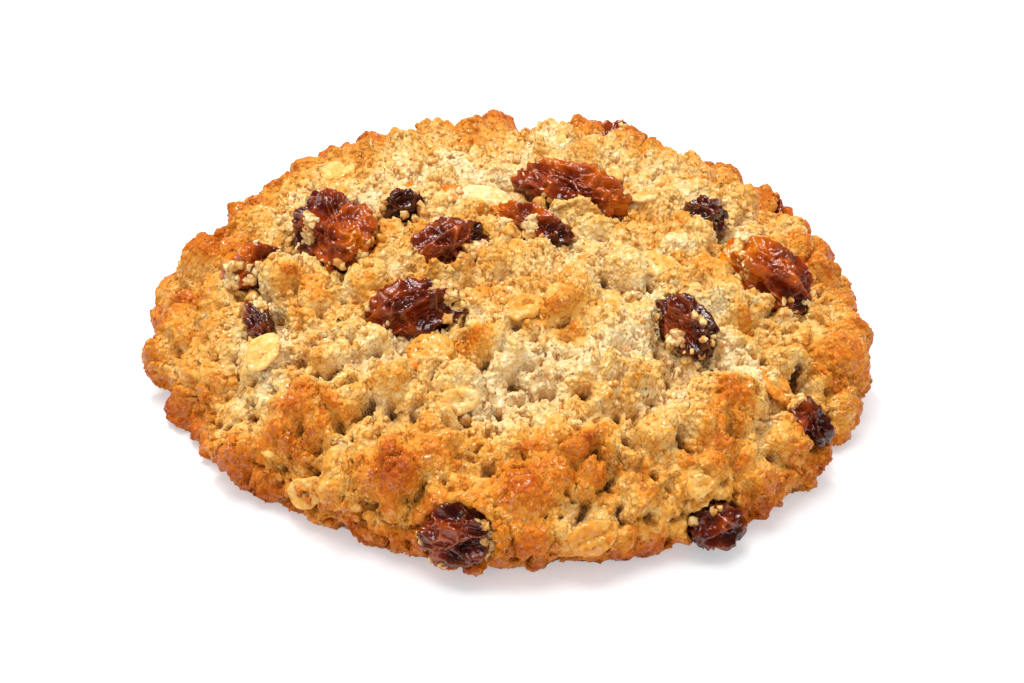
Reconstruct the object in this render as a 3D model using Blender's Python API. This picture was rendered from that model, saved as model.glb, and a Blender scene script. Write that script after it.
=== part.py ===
"""An oatmeal raisin cookie: one baked body of dough, and the raisins that show in its crust.

The cookie rests on its flat base. The origin is the middle of that base, +Z is up, and the rim that
carries two raisins low down faces -Y. A place on the crust is given the way one would point it out
on a real cookie: an azimuth around it, and the travel from the crown's middle (0) over the shoulder
and down the side to the base's edge (1).
"""

import math
from bisect import bisect_left
from collections import namedtuple

import bmesh
import bpy
from mathutils import Matrix, Vector, noise

MM = 0.001
COLLECTION_NAME = "oatmeal_raisin_cookie"

# ---- Driving dimensions, in millimetres and degrees ----
DIAMETER = 88.0          # across the widest ring, before the waves of the outline
HEIGHT = 20.0            # base to crown, before the mounds
WIDEST_HEIGHT = 5.0      # the widest ring stands this far above the base
BASE_SHARE = 0.935       # radius of the flat base, as a share of the widest radius
SHOULDER = 2.4           # exponents of the domed side: higher is squarer along the radius,
CROWN = 1.5              # and along the height
POCKET_GAP = 0.3         # clear space between a raisin and the dough around it
SLIVER = 0.03            # edges shorter than this, where two surfaces cross, are merged

# The spread dough isn't round: waves around, share of the radius, azimuth of the first crest.
OUTLINE_WAVES = ((2, 0.025, 111.0), (3, 0.013, 69.0), (5, 0.007, 45.0))

# The crust is clumps of dough that baked together, with creases where they meet, on a body that is
# itself a little uneven.
CLUMP_SPACING = 10.5     # from one clump's middle to the next
CLUMP_RISE = 3.4         # how steeply a clump is domed
CLUMP_LEVEL = 0.24       # the part of a clump that stands above the smooth crust
UNEVEN_SPACING = 17.0
UNEVEN_HEIGHT = 1.6

# ---- How finely each solid is faceted ----
DOUGH_SEGMENTS = 66
DOUGH_RINGS = 22
BIG_RAISIN = 8.0         # raisins this long or longer get the finer facets
BIG_FACETS = (16, 7)
SMALL_FACETS = (12, 6)

# ---- Mounds of dough that rose or slumped: azimuth, travel, spread and height ----
Mound = namedtuple("Mound", "azimuth travel spread height")
MOUNDS = (
    # knobs and dips round the rim, anticlockwise from the right
    Mound(1, 0.79, 5.5, 0.1), Mound(22, 0.73, 5.5, -0.6), Mound(33, 0.84, 5.0, -0.9),
    Mound(42, 0.64, 5.5, -0.2), Mound(56, 0.70, 6.0, -2.2), Mound(72, 0.62, 6.0, -0.8),
    Mound(80, 0.80, 5.0, -0.5), Mound(91, 0.76, 5.5, -0.9), Mound(102, 0.60, 6.0, -0.9),
    Mound(113, 0.80, 5.0, -0.8), Mound(126, 0.68, 5.0, -0.6), Mound(139, 0.65, 5.0, 0.9),
    Mound(163, 0.86, 5.0, -1.8), Mound(162, 0.67, 4.5, 1.7), Mound(178, 0.84, 4.5, -0.5),
    Mound(205, 0.90, 3.8, -1.2), Mound(223, 0.95, 4.5, 1.5), Mound(222, 0.85, 4.5, 1.2),
    Mound(238, 0.90, 4.5, 1.1), Mound(278, 0.93, 6.0, 0.7), Mound(293, 0.90, 4.5, 1.1),
    Mound(319, 0.94, 5.5, 0.8), Mound(345, 0.79, 4.5, 0.9),
    # the broken front slope
    Mound(251, 0.73, 4.5, 1.1), Mound(284, 0.66, 4.0, 1.4), Mound(272, 0.72, 7.5, 1.4),
    Mound(207, 0.48, 4.5, 1.3), Mound(258, 0.41, 4.5, 1.6), Mound(292, 0.35, 5.0, 1.1),
    Mound(316, 0.67, 5.0, 1.5), Mound(336, 0.50, 4.5, 1.2), Mound(228, 0.68, 4.5, 1.6),
    Mound(196, 0.70, 5.0, 1.2), Mound(244, 0.56, 4.5, 1.2),
    # hollows: the open crack across the front slope, and dips beside raisins
    Mound(267, 0.47, 4.0, -1.3), Mound(281, 0.54, 4.5, -1.8), Mound(296, 0.61, 4.0, -1.6),
    Mound(307, 0.57, 4.0, -1.3), Mound(229, 0.60, 3.5, -1.2), Mound(255, 0.82, 3.5, -1.0),
    Mound(203, 0.61, 4.5, -1.3), Mound(20, 0.49, 6.0, -1.3), Mound(320, 0.47, 6.0, -1.4),
    Mound(331, 0.76, 4.0, -1.2),
)

# ---- Raisins: where the middle is, size, heading of the long axis, and how far it stands proud ----
Raisin = namedtuple("Raisin", "azimuth travel length width thickness heading proud")
RAISINS = (
    Raisin(177, 0.385, 14.5, 10.4, 9.0, -60, 4.2),    # the two-lobed amber one on the left
    Raisin(155, 0.265, 5.3, 4.6, 5.0, 20, 1.9),      # the small dark one beside it
    Raisin(213, 0.155, 9.6, 7.6, 7.0, 32, 3.0),     # on the crown, left of the middle
    Raisin(8, 0.045, 11.4, 5.4, 5.6, -36, 2.2),      # the narrow one at the crown's middle
    Raisin(49, 0.205, 14.2, 7.8, 7.0, -24, 3.2),    # the largest, behind the middle
    Raisin(20, 0.490, 5.8, 5.2, 5.0, 0, 0.9),       # small and dark in its hollow
    Raisin(355, 0.595, 12.4, 8.4, 7.2, -27, 2.9),    # on the right shoulder
    Raisin(324, 0.465, 10.4, 5.6, 6.0, -58, 1.0),    # deep in a crevice
    Raisin(233, 0.355, 12.4, 7.6, 7.0, 8, 2.2),     # on the front of the crown
    Raisin(183, 0.575, 7.8, 6.0, 6.0, 2, 2.5),     # on the left shoulder
    Raisin(200, 0.605, 8.0, 3.4, 5.0, -74, 0.6),    # in the crack below that one
    Raisin(325, 0.81, 6.6, 5.2, 5.2, -38, 1.7),     # on the right side, standing on end
    Raisin(262.5, 0.87, 9.4, 7.8, 7.0, -7, 2.0),    # on the front rim
    Raisin(301.5, 0.91, 7.4, 5.8, 6.2, 20, 2.7),      # the one that sticks out of the rim
    Raisin(38, 0.905, 8.4, 6.0, 6.0, 128, 0.9),     # three on the back rim
    Raisin(72, 0.890, 10.2, 7.0, 6.6, 166, 1.3),
    Raisin(114, 0.895, 9.0, 6.4, 6.2, 198, 1.0),
)
RAISIN_FOLDS = 5         # shrivelled ridges that run along a raisin
FOLD_DEPTH = 0.12        # their depth, as a share of the raisin's radius
RAISIN_LUMPS = 0.16      # and how uneven its body is

DOUGH_COLOUR = (0.74, 0.47, 0.20)
RAISIN_COLOURS = ((0.20, 0.035, 0.015), (0.045, 0.010, 0.008), (0.10, 0.018, 0.010))


def trace_meridian(steps=240):
    """The side profile from crown to base edge: rows of travel, share of the radius, height."""
    profile = []
    for step in range(steps + 1):
        turn = math.pi * step / steps
        if turn <= math.pi / 2:
            share = math.sin(turn) ** (2 / SHOULDER)
            height = WIDEST_HEIGHT + (HEIGHT - WIDEST_HEIGHT) * abs(math.cos(turn)) ** (2 / CROWN)
        else:
            share = BASE_SHARE + (1 - BASE_SHARE) * math.sin(turn)
            height = WIDEST_HEIGHT * (1 + math.cos(turn))
        profile.append((share, height))
    lengths = [0.0]
    for (share, height), (next_share, next_height) in zip(profile, profile[1:]):
        run = (next_share - share) * DIAMETER / 2
        lengths.append(lengths[-1] + math.hypot(run, next_height - height))
    return [(length / lengths[-1], *point) for length, point in zip(lengths, profile)]


MERIDIAN = trace_meridian()
TRAVELS = [row[0] for row in MERIDIAN]


def side_profile(travel):
    """Share of the radius and height at a travel along the side profile."""
    after = min(max(bisect_left(TRAVELS, travel), 1), len(MERIDIAN) - 1)
    start, end = MERIDIAN[after - 1], MERIDIAN[after]
    blend = (travel - start[0]) / (end[0] - start[0])
    return tuple(start[k] + (end[k] - start[k]) * blend for k in (1, 2))


def outline_radius(azimuth):
    """Radius of the widest ring in one direction, azimuth in radians."""
    waves = sum(share * math.cos(count * (azimuth - math.radians(crest)))
                for count, share, crest in OUTLINE_WAVES)
    return DIAMETER / 2 * (1 + waves)


def smooth_crust(azimuth, travel):
    """A point of the crust without its relief, and the direction in which the relief stands off.

    That is straight out of the crust, but level below the widest ring, so that the base stays flat.
    """
    radius = outline_radius(azimuth)
    share, height = side_profile(travel)
    outward = Vector((math.cos(azimuth), math.sin(azimuth), 0.0))
    point = outward * (radius * share) + Vector((0.0, 0.0, height))
    if height <= WIDEST_HEIGHT:
        return point, outward
    reach = 0.01
    before, after = side_profile(max(travel - reach, 0.0)), side_profile(min(travel + reach, 1.0))
    run, fall = (after[0] - before[0]) * radius, after[1] - before[1]
    normal = (outward * -fall + Vector((0.0, 0.0, run))).normalized()
    return point, normal


MOUND_PLACES = [smooth_crust(math.radians(mound.azimuth), mound.travel)[0] for mound in MOUNDS]


def relief(point):
    """How far the baked surface stands off the smooth crust at one of its points."""
    to_clump = noise.voronoi(point / CLUMP_SPACING)[0][0]
    lift = CLUMP_RISE * (CLUMP_LEVEL - to_clump ** 2)
    lift += UNEVEN_HEIGHT * noise.noise(point / UNEVEN_SPACING)
    for mound, place in zip(MOUNDS, MOUND_PLACES):
        lift += mound.height * math.exp(-((point - place).length / mound.spread) ** 2)
    return lift


def crust_point(azimuth, travel):
    """A point of the baked crust, relief included."""
    point, normal = smooth_crust(azimuth, travel)
    return point + normal * relief(point)


def make_material(name, colour, roughness):
    """A plain Principled material for one object."""
    material = bpy.data.materials.new(name)
    material.use_nodes = True
    shader = material.node_tree.nodes["Principled BSDF"]
    shader.inputs["Base Color"].default_value = (*colour, 1.0)
    shader.inputs["Roughness"].default_value = roughness
    shader.inputs["Metallic"].default_value = 0.0
    material.diffuse_color = (*colour, 1.0)
    return material


def add_object(name, shape, collection, material=None):
    """Turn a finished bmesh into an object in a collection, in flat facets that cut cleanly."""
    bmesh.ops.triangulate(shape, faces=shape.faces)
    mesh = bpy.data.meshes.new(name)
    shape.to_mesh(mesh)
    shape.free()
    mesh.shade_smooth()
    mesh.set_sharp_from_angle(angle=math.radians(50))
    if material:
        mesh.materials.append(material)
    thing = bpy.data.objects.new(name, mesh)
    collection.objects.link(thing)
    return thing


def make_dough(collection):
    """The body of the cookie: a sphere whose rings are laid along the crust's side profile.

    The last ring is the base's edge and the lower pole the base's middle, so the base is flat.
    """
    shape = bmesh.new()
    bmesh.ops.create_uvsphere(shape, u_segments=DOUGH_SEGMENTS, v_segments=DOUGH_RINGS, radius=1.0)
    for vert in shape.verts:
        ring = round(math.acos(max(-1.0, min(1.0, vert.co.z))) / math.pi * DOUGH_RINGS)
        if ring == DOUGH_RINGS:
            vert.co = (0.0, 0.0, 0.0)
        else:
            azimuth = math.atan2(vert.co.y, vert.co.x)
            vert.co = crust_point(azimuth, ring / (DOUGH_RINGS - 1)) * MM
    return add_object("dough", shape, collection, make_material("baked_dough", DOUGH_COLOUR, 0.8))


def raisin_shape(raisin, number, gap):
    """A shrivelled raisin about its own middle, grown by a gap all round.

    The poles of a sphere become its ends. Folds run from end to end with a slight twist, and low
    noise, different for each number, makes the body uneven.
    """
    facets = BIG_FACETS if raisin.length >= BIG_RAISIN else SMALL_FACETS
    half_sizes = [size / 2 + gap for size in (raisin.length, raisin.width, raisin.thickness)]
    shape = bmesh.new()
    bmesh.ops.create_uvsphere(shape, u_segments=facets[0], v_segments=facets[1], radius=1.0)
    for vert in shape.verts:
        along, across, up = vert.co.z, vert.co.x, vert.co.y
        around = math.atan2(up, across)
        girth = math.hypot(across, up)
        fold = FOLD_DEPTH * girth * math.cos(RAISIN_FOLDS * around + 1.6 * along + number)
        lump = RAISIN_LUMPS * noise.noise(Vector((along, across, up)) * 1.3 + Vector((number, 0, 0)))
        swell = 1 + fold + lump
        vert.co = [half * swell * share * MM for half, share in zip(half_sizes, (along, across, up))]
    return shape


def raisin_frame(raisin):
    """Place and turn of a raisin: its long axis along the heading, its flat side in the crust."""
    place, normal = smooth_crust(math.radians(raisin.azimuth), raisin.travel)
    heading = math.radians(raisin.heading)
    long_axis = Vector((math.cos(heading), math.sin(heading), 0.0))
    long_axis = (long_axis - normal * long_axis.dot(normal)).normalized()
    side_axis = normal.cross(long_axis)
    middle = place + normal * (raisin.proud - raisin.thickness / 2)
    turn = Matrix((long_axis, side_axis, normal)).transposed()
    return middle * MM, turn


def add_raisins(collection, cutters):
    """Every raisin as its own object, with a slightly larger copy that cuts its pocket."""
    for number, raisin in enumerate(RAISINS, start=1):
        middle, turn = raisin_frame(raisin)
        name = f"raisin_{number:02d}"
        material = make_material(name, RAISIN_COLOURS[number % len(RAISIN_COLOURS)], 0.3)
        body = add_object(name, raisin_shape(raisin, number, 0.0), collection, material)
        cutter = add_object(f"pocket_{number:02d}", raisin_shape(raisin, number, POCKET_GAP), cutters)
        cutter.hide_render = True
        cutter.display_type = "WIRE"
        for thing in (body, cutter):
            thing.location = middle
            thing.rotation_euler = turn.to_euler()


def cut_pockets(dough, cutters):
    """Hollow the dough where each raisin sits, and merge the slivers that the cuts leave."""
    pockets = dough.modifiers.new("raisin pockets", "BOOLEAN")
    pockets.operation = "DIFFERENCE"
    pockets.solver = "EXACT"
    pockets.operand_type = "COLLECTION"
    pockets.collection = cutters
    evaluated = dough.evaluated_get(bpy.context.evaluated_depsgraph_get())
    cut = bpy.data.meshes.new_from_object(evaluated)
    dough.modifiers.remove(pockets)
    shape = bmesh.new()
    shape.from_mesh(cut)
    bmesh.ops.remove_doubles(shape, verts=shape.verts, dist=SLIVER * MM)
    bmesh.ops.triangulate(shape, faces=shape.faces)
    bmesh.ops.dissolve_degenerate(shape, edges=shape.edges, dist=SLIVER * MM / 3)
    bmesh.ops.triangulate(shape, faces=shape.faces)
    shape.to_mesh(dough.data)
    shape.free()
    bpy.data.meshes.remove(cut)


def main():
    for thing in list(bpy.data.objects):
        bpy.data.objects.remove(thing, do_unlink=True)
    cookie = bpy.data.collections.new(COLLECTION_NAME)
    cutters = bpy.data.collections.new("pocket_cutters")
    for collection in (cookie, cutters):
        bpy.context.scene.collection.children.link(collection)
    dough = make_dough(cookie)
    add_raisins(cookie, cutters)
    cut_pockets(dough, cutters)


main()
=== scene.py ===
# %% [markdown]
# # An oatmeal raisin cookie, finished as it comes off the tray
#
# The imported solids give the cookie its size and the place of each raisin. This lesson dresses them:
# a craggy crust of dough clumps, crumbs and oat flakes, wrinkled raisins that sit in it, and a white
# table with soft light. All lengths are in millimetres until a mesh is made, and then in metres.

# %% The tools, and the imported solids
import math
import random
from collections import namedtuple
from functools import partial

import bmesh
import bpy
import numpy as np
from mathutils import Matrix, Vector, noise


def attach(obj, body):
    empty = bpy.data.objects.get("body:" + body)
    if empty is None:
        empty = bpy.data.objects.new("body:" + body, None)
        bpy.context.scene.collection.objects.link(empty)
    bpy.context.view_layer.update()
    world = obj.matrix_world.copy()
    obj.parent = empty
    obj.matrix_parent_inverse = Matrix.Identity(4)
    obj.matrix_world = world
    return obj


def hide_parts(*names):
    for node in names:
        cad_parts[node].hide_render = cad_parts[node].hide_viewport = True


MM = 0.001
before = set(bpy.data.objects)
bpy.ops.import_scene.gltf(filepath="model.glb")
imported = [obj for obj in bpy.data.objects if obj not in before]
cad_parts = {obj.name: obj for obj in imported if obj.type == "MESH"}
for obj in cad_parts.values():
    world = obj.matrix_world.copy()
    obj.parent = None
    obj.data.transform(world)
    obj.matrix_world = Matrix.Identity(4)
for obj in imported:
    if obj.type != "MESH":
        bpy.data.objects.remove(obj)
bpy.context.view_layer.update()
print("packed nodes:", len(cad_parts))

# %% The same cookie on each run
# vector noise starts from the clock unless it is given a seed
NOISE_SEED = 2
noise.seed_set(NOISE_SEED)
print("noise seed:", NOISE_SEED)


# %% [markdown]
# ## Helpers
#
# Colours are written as the hex values that a paint chart would give. Blender's shaders want linear
# light, so one function converts them. Another adds a node: its options, the numbers or links of
# its inputs, and, for a colour ramp, its stops. The rest put objects in the scene and move rows of
# numbers in and out of meshes, which is much quicker than one vertex at a time.

# %% Colours and nodes
def linear(code):
    """A hex colour such as E8C98A as linear red, green, blue and alpha."""
    channels = [int(code[k:k + 2], 16) / 255 for k in (0, 2, 4)]
    return (*[c / 12.92 if c <= 0.04045 else ((c + 0.055) / 1.055) ** 2.4 for c in channels], 1.0)


def fill_inputs(tree, node, inputs):
    """Set or link inputs of a node. A node given as a value is linked from its first active output."""
    for place, value in inputs.items():
        if isinstance(place, int):
            socket = node.inputs[place]
        else:
            socket = next(s for s in node.inputs if s.name == place and s.enabled)
        if isinstance(value, bpy.types.Node):
            value = next(s for s in value.outputs if s.enabled)
        if isinstance(value, bpy.types.NodeSocket):
            tree.links.new(value, socket)
        else:
            socket.default_value = value


def add_node(tree, kind, inputs=None, stops=None, **options):
    """Add a node to a tree, with its options, its inputs and the stops of a colour ramp."""
    node = tree.nodes.new(kind)
    for option, value in options.items():
        setattr(node, option, value)
    fill_inputs(tree, node, inputs or {})
    if stops:
        while len(node.color_ramp.elements) < len(stops):
            node.color_ramp.elements.new(1.0)
        for element, (position, colour) in zip(node.color_ramp.elements, stops):
            element.position = position
            element.color = linear(colour)
    return node


# %% Objects, places and attributes
def put_in_scene(name, data):
    """A new object in the scene that holds a mesh, a light or a camera."""
    thing = bpy.data.objects.new(name, data)
    bpy.context.scene.collection.objects.link(thing)
    return thing


def vertex_places(mesh):
    """The places of a mesh's points in metres, one row each."""
    places = np.zeros(len(mesh.vertices) * 3, np.float32)
    mesh.vertices.foreach_get("co", places)
    return places.reshape(-1, 3)


def write_attributes(mesh, columns):
    """Store a number for each point of a mesh, under each name."""
    for name, values in columns.items():
        values = np.asarray(values, np.float32)
        mesh.attributes.new(name, "FLOAT", "POINT").data.foreach_set("value", values)


def write_bake_map(mesh, spots):
    """Give a mesh a UV map, from one spot of the map for each point."""
    corners = np.zeros(len(mesh.loops), np.int32)
    mesh.loops.foreach_get("vertex_index", corners)
    bake_map = mesh.uv_layers.new(name="OFBake")
    bake_map.data.foreach_set("uv", spots[corners].astype(np.float32).ravel())


print("the colour of a pale crumb in linear light:", [round(part, 3) for part in linear("F5E0AC")])


# %% [markdown]
# ## The smooth crust
#
# A place on the crust is an azimuth around the cookie and a travel from the crown's middle (0) over
# the shoulder to the base's edge (1). The side profile and the outline are those of the packed
# solid, so that the looks stay inside its size. Everything else is added on top of this surface.

# %% Side profile and outline
DIAMETER = 88.0
HEIGHT = 20.0
WIDEST_HEIGHT = 5.0
BASE_SHARE = 0.935
SHOULDER = 2.4
CROWN = 1.5
OUTLINE_WAVES = ((2, 0.025, 111.0), (3, 0.013, 69.0), (5, 0.007, 45.0))


def trace_meridian(steps=240):
    """Rows of travel, share of the radius and height, from the crown to the base's edge."""
    profile = []
    for step in range(steps + 1):
        turn = math.pi * step / steps
        if turn <= math.pi / 2:
            share = math.sin(turn) ** (2 / SHOULDER)
            height = WIDEST_HEIGHT + (HEIGHT - WIDEST_HEIGHT) * abs(math.cos(turn)) ** (2 / CROWN)
        else:
            share = BASE_SHARE + (1 - BASE_SHARE) * math.sin(turn)
            height = WIDEST_HEIGHT * (1 + math.cos(turn))
        profile.append((share, height))
    lengths = [0.0]
    for (share, height), (next_share, next_height) in zip(profile, profile[1:]):
        run = (next_share - share) * DIAMETER / 2
        lengths.append(lengths[-1] + math.hypot(run, next_height - height))
    return np.array([(length / lengths[-1], *point) for length, point in zip(lengths, profile)])


MERIDIAN = trace_meridian()


def meridian_at(travel):
    """Share of the radius, and height, at each travel."""
    return [np.interp(travel, MERIDIAN[:, 0], MERIDIAN[:, column]) for column in (1, 2)]


def smooth_crust(azimuth, travel):
    """Points of the crust without relief, and the directions in which relief stands off (arrays)."""
    azimuth, travel = np.atleast_1d(azimuth), np.atleast_1d(travel)
    waves = sum(part * np.cos(count * (azimuth - math.radians(crest)))
                for count, part, crest in OUTLINE_WAVES)
    radius = DIAMETER / 2 * (1 + waves)
    share, height = meridian_at(travel)
    outward = np.stack([np.cos(azimuth), np.sin(azimuth), np.zeros_like(azimuth)], -1)
    points = outward * (radius * share)[:, None]
    points[:, 2] = height
    share_before, height_before = meridian_at(np.maximum(travel - 0.01, 0.0))
    share_after, height_after = meridian_at(np.minimum(travel + 0.01, 1.0))
    run = np.where(height <= WIDEST_HEIGHT, 0.0, radius * (share_after - share_before))
    normals = outward * -(height_after - height_before)[:, None]
    normals[:, 2] = run
    normals /= np.linalg.norm(normals, axis=1)[:, None]
    return points, normals


def crust_place(azimuth, travel):
    """One point of the smooth crust and its normal, azimuth in degrees."""
    points, normals = smooth_crust(math.radians(azimuth), travel)
    return Vector(points[0]), Vector(normals[0])


print("crown at", crust_place(0, 0)[0].z, "mm; base edge", round(crust_place(0, 1)[0].x, 1), "mm out")


# %% [markdown]
# ## Mounds, cracks and holes
#
# The dough was scooped and baked, so it is clumps that slumped against each other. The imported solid
# already has the large mounds. The same list is used here, followed by what is too fine for it:
# knobs, small dark holes between clumps, the open crack across the front slope, and a dark slit on
# the right. In every list a place is an azimuth in degrees and a travel.

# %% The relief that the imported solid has
Mound = namedtuple("Mound", "azimuth travel spread height")
MOUNDS = [Mound(*row) for row in (
    (1, 0.79, 5.5, 0.1), (22, 0.73, 5.5, -0.6), (33, 0.84, 5.0, -0.9), (42, 0.64, 5.5, -0.2),
    (56, 0.70, 6.0, -2.2), (72, 0.62, 6.0, -0.8), (80, 0.80, 5.0, -0.5), (91, 0.76, 5.5, -0.9),
    (102, 0.60, 6.0, -0.9), (113, 0.80, 5.0, -0.8), (126, 0.68, 5.0, -0.6), (139, 0.65, 5.0, 0.9),
    (163, 0.86, 5.0, -1.8), (162, 0.67, 4.5, 1.7), (178, 0.84, 4.5, -0.5), (205, 0.90, 3.8, -1.2),
    (223, 0.95, 4.5, 1.5), (222, 0.85, 4.5, 1.2), (238, 0.90, 4.5, 1.1), (278, 0.93, 6.0, 0.7),
    (293, 0.90, 4.5, 1.1), (319, 0.94, 5.5, 0.8), (345, 0.79, 4.5, 0.9), (251, 0.73, 4.5, 1.1),
    (284, 0.66, 4.0, 1.4), (272, 0.72, 7.5, 1.4), (207, 0.48, 4.5, 1.3), (258, 0.41, 4.5, 1.6),
    (292, 0.35, 5.0, 1.1), (316, 0.67, 5.0, 1.5), (336, 0.50, 4.5, 1.2), (228, 0.68, 4.5, 1.6),
    (196, 0.70, 5.0, 1.2), (244, 0.56, 4.5, 1.2), (267, 0.47, 4.0, -1.3), (281, 0.54, 4.5, -1.8),
    (296, 0.61, 4.0, -1.6), (307, 0.57, 4.0, -1.3), (229, 0.60, 3.5, -1.2), (255, 0.82, 3.5, -1.0),
    (203, 0.61, 4.5, -1.3), (20, 0.49, 6.0, -1.3), (320, 0.47, 6.0, -1.4), (331, 0.76, 4.0, -1.2))]

# %% The relief that is too fine for it
# knobs, dark holes, and dips and bulges of the rim
KNOBS = [Mound(*row) for row in (
    (251, 0.75, 2.0, 0.5), (284, 0.66, 1.8, 0.8), (196, 0.50, 2.4, 1.0), (334, 0.57, 2.2, 0.8),
    (299, 0.815, 2.6, 1.2), (213, 0.645, 2.6, 1.0), (112, 0.17, 3.4, 0.8), (228, 0.665, 2.4, 0.7),
    (278, 0.495, 1.0, -2.4), (288, 0.53, 1.1, -2.4), (229, 0.605, 1.2, -2.4), (253, 0.805, 0.8, -2.4),
    (311, 0.73, 1.0, -2.4), (332, 0.735, 1.8, -4.4), (270, 0.46, 0.9, -1.8), (216, 0.56, 1.1, -1.8),
    (295, 0.60, 1.1, -2.6), (343, 0.42, 1.1, -1.4), (236, 0.70, 0.9, -1.6), (261, 0.61, 0.9, -2.6),
    (208, 0.72, 0.9, -1.5), (194, 0.345, 3.2, -1.6), (222, 0.53, 1.2, -1.6), (236, 0.82, 1.2, -1.8),
    (217, 0.78, 1.2, -2.0), (229, 0.74, 1.1, -1.8), (246, 0.64, 1.1, -1.6), (205, 0.84, 1.2, -1.8),
    (297, 0.75, 0.8, -1.4), (60, 0.55, 1.3, -1.8), (95, 0.66, 1.2, -1.8),
    (131, 0.62, 1.2, -1.8), (24, 0.70, 1.2, -1.6), (150, 0.78, 1.1, -1.6),
    (32, 0.72, 4.0, -1.2), (122, 0.62, 5.0, -0.6), (108, 0.60, 4.0, -0.6), (204, 0.88, 3.5, -1.0),
    (336, 0.88, 3.5, -1.2), (169, 0.74, 3.0, -0.5), (214, 0.93, 3.0, 1.2), (314, 0.93, 3.0, 1.2),
    (176, 0.79, 3.0, 0.9), (352, 0.84, 3.0, 0.6), (247, 0.96, 4.0, 0.8), (50, 0.60, 3.5, 0.7),
    (272, 0.515, 0.9, -2.8), (268, 0.555, 0.9, -2.8), (285, 0.70, 0.9, -2.4), (287, 0.745, 0.9, -2.4),
    (324, 0.575, 1.1, -2.6), (310, 0.53, 1.1, -2.6), (198, 0.90, 2.8, -1.3), (211, 0.95, 3.2, 1.1),
    (114, 0.62, 4.5, -1.0), (40, 0.78, 4.5, -1.6), (161, 0.76, 3.0, -0.9), (172, 0.85, 3.2, 1.0),
    (354, 0.88, 5.0, 0.7), (337, 0.90, 3.5, -1.0), (320, 0.95, 3.0, 0.7),
    (200, 0.93, 3.0, -1.2), (207, 0.95, 3.0, 1.2), (158, 0.76, 3.5, -1.0), (150, 0.74, 3.0, 0.7),
    (38, 0.82, 3.0, -1.2), (31, 0.83, 3.0, -0.8), (50, 0.72, 3.0, 0.7), (88, 0.70, 3.0, -0.7),
    (78, 0.70, 4.0, 0.6), (346, 0.90, 3.0, 0.7), (243, 0.235, 2.5, -1.0),
    (331, 0.79, 3.0, 0.4))]

# the places that the crack passes
CRACK = ((245, 0.405), (256, 0.43), (267, 0.465), (281, 0.535), (288, 0.585), (296, 0.615),
         (305, 0.585), (316, 0.54))
CRACK_WIDTH = 1.5
CRACK_DEPTH = 1.5

# a short, dark slit above the raisin on the right side
SLIT = ((335, 0.72), (332, 0.765))
SLIT_WIDTH = 0.8
SLIT_DEPTH = 2.0
print("mounds:", len(MOUNDS), "knobs and holes:", len(KNOBS))


# %% [markdown]
# ## The raisins' places
#
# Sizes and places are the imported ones. Two more numbers say how a raisin looks: how amber its skin
# is (a dark raisin dried longer), and the side on which the light comes through, as a heading.

# %% The raisins
Raisin = namedtuple("Raisin", "azimuth travel length width thickness heading proud amber glow")
RAISINS = [Raisin(*row) for row in (
    (177, 0.385, 14.5, 10.4, 9.0, -60, 4.2, 0.34, 315), (155, 0.265, 5.3, 4.6, 5.0, 20, 1.9, 0.06, 90),
    (213, 0.155, 9.6, 7.6, 7.0, 32, 3.0, 0.24, 190), (8, 0.045, 11.4, 5.4, 5.6, -36, 2.2, 0.44, 140),
    (49, 0.205, 14.2, 7.8, 7.0, -24, 3.2, 0.50, 70), (20, 0.490, 5.8, 5.2, 5.0, 0, 0.9, 0.06, 90),
    (355, 0.595, 12.4, 8.4, 7.2, -27, 2.9, 0.52, 150), (324, 0.465, 10.4, 5.6, 6.0, -58, 1.0, 0.12, 160),
    (233, 0.355, 12.4, 7.6, 7.0, 8, 2.2, 0.20, 200), (183, 0.575, 7.8, 6.0, 6.0, 2, 2.5, 0.50, 150),
    (200, 0.605, 8.0, 3.4, 5.0, -74, 0.6, 0.06, 180), (325, 0.81, 6.6, 5.2, 5.2, -38, 1.7, 0.08, 200),
    (262.5, 0.87, 9.4, 7.8, 7.0, -7, 2.0, 0.15, 190), (301.5, 0.91, 7.4, 5.8, 6.2, 20, 2.7, 0.08, 270),
    (38, 0.905, 8.4, 6.0, 6.0, 128, 0.9, 0.35, 60), (72, 0.890, 10.2, 7.0, 6.6, 166, 1.3, 0.18, 90),
    (114, 0.895, 9.0, 6.4, 6.2, 198, 1.0, 0.40, 120))]


def turn_on_crust(normal, heading, rise=0.0):
    """The long, side and upright axes of a thing that lies on the crust with a heading."""
    long_axis = Vector((math.cos(heading), math.sin(heading), rise))
    long_axis = (long_axis - normal * long_axis.dot(normal)).normalized()
    return Matrix((long_axis, normal.cross(long_axis), normal)).transposed()


def raisin_frame(raisin):
    """Middle of a raisin in millimetres, and the turn of its long, side and upright axes."""
    place, normal = crust_place(raisin.azimuth, raisin.travel)
    middle = place + normal * (raisin.proud - raisin.thickness / 2)
    return middle, turn_on_crust(normal, math.radians(raisin.heading))


print("raisins:", len(RAISINS))


# %% [markdown]
# ## A sheet of points over the dough
#
# A sphere's rings would crowd at the crown. Wrapping a square grid over the crust, like a cloth over
# a loaf, keeps the faces alike in size, about a third of a millimetre, which is as fine as a mesh of
# this size can be and shows every crumb of a millimetre. The square's edge becomes the base's edge.

# %% Wrap a square grid over the crust
GRID = 288
BASE_GRID = 72


def square_places(cells):
    """Azimuth and travel of the points of a square grid that is wrapped round its middle."""
    steps = np.linspace(-1.0, 1.0, cells + 1)
    across, back = (side.ravel() for side in np.meshgrid(steps, steps))
    reach = np.maximum(abs(across), abs(back))
    wide = abs(across) >= abs(back)
    safe_across, safe_back = np.where(wide & (across != 0), across, 1), np.where(wide, 1, back)
    azimuth = np.where(wide, back / safe_across * math.pi / 4 + np.where(across < 0, math.pi, 0),
                       math.pi / 2 - across / safe_back * math.pi / 4
                       + np.where(back < 0, math.pi, 0))
    return azimuth, reach


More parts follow.
